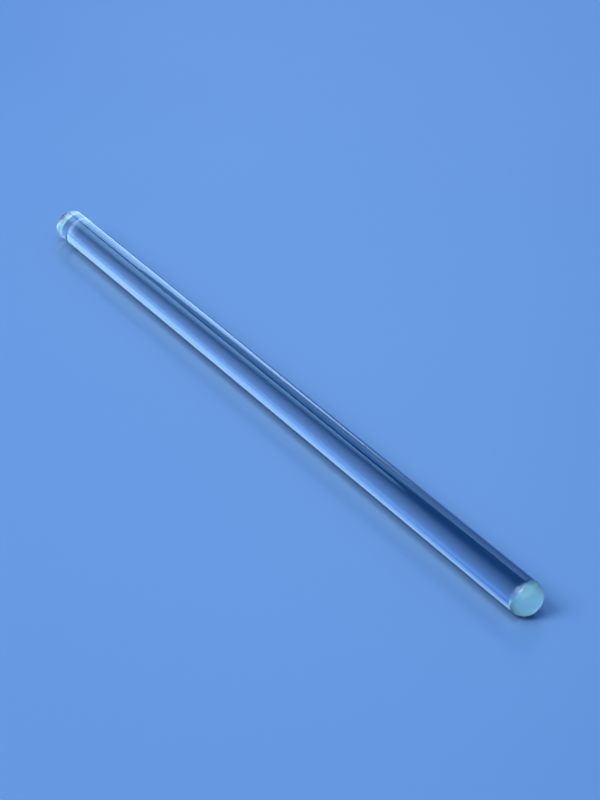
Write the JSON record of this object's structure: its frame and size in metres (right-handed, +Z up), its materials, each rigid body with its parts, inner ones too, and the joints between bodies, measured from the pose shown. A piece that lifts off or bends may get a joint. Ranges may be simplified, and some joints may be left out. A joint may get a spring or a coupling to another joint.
{
  "type": "glass stirring rod",
  "caption": "Straight clear glass rod with fire-polished round ends, for stirring and pouring in the laboratory.",
  "frame": {"origin": "on the rod's axis, midway between its two rounded ends, 3 mm above a surface that the rod lies on", "axes": "+X along the rod, +Z up with the rod lying flat, +Y across it; the two ends are alike"},
  "size_m": [0.16, 0.006, 0.006],
  "materials": {
    "clear_glass": "clear drawn soda-lime glass with a faint blue-green tint along its length, glossy, fire-polished at both ends"
  },
  "bodies": {
    "root": {"stirring_rod": "clear_glass"}
  },
  "joints": []
}
